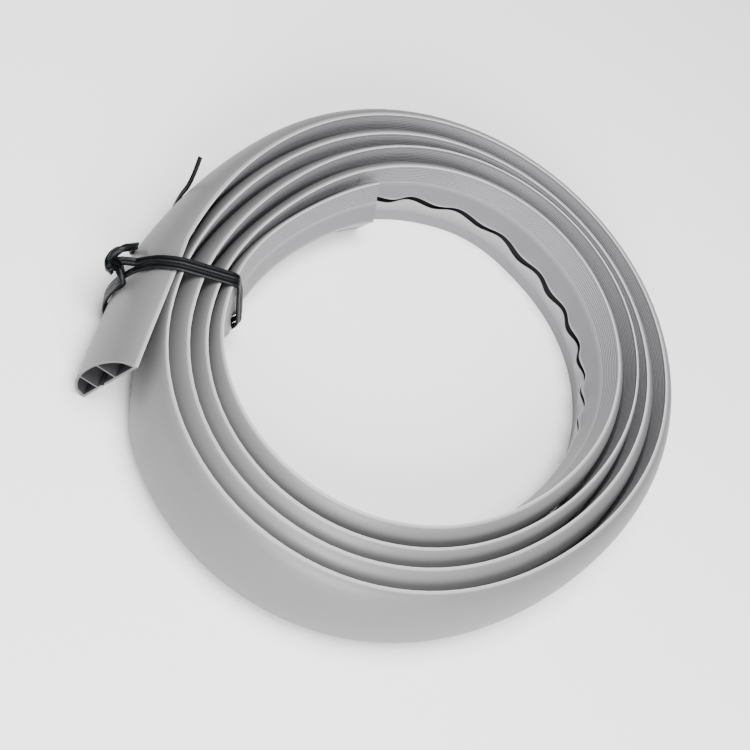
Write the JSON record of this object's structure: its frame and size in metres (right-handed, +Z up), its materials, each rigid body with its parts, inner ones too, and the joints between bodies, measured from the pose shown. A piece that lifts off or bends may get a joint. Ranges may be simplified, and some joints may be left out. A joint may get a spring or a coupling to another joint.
{
  "type": "floor cable duct",
  "caption": "Soft floor cable duct with a domed back, hollow channels and a slit self-adhesive base, coiled on edge and held by a twist tie.",
  "frame": {"origin": "middle of the base of the coil's bounding box, on the floor", "axes": "+Z up along the coil's axis and the strip's width; the free straight outer end points along -Y on the -X side"},
  "size_m": [0.4564, 0.478, 0.0819],
  "materials": {
    "soft_pvc": "satin, finely grooved along the length",
    "coated_tie": "satin black plastic over a wire"
  },
  "bodies": {
    "root": {"cable_duct": "soft_pvc", "twist_tie": "coated_tie"}
  },
  "joints": []
}
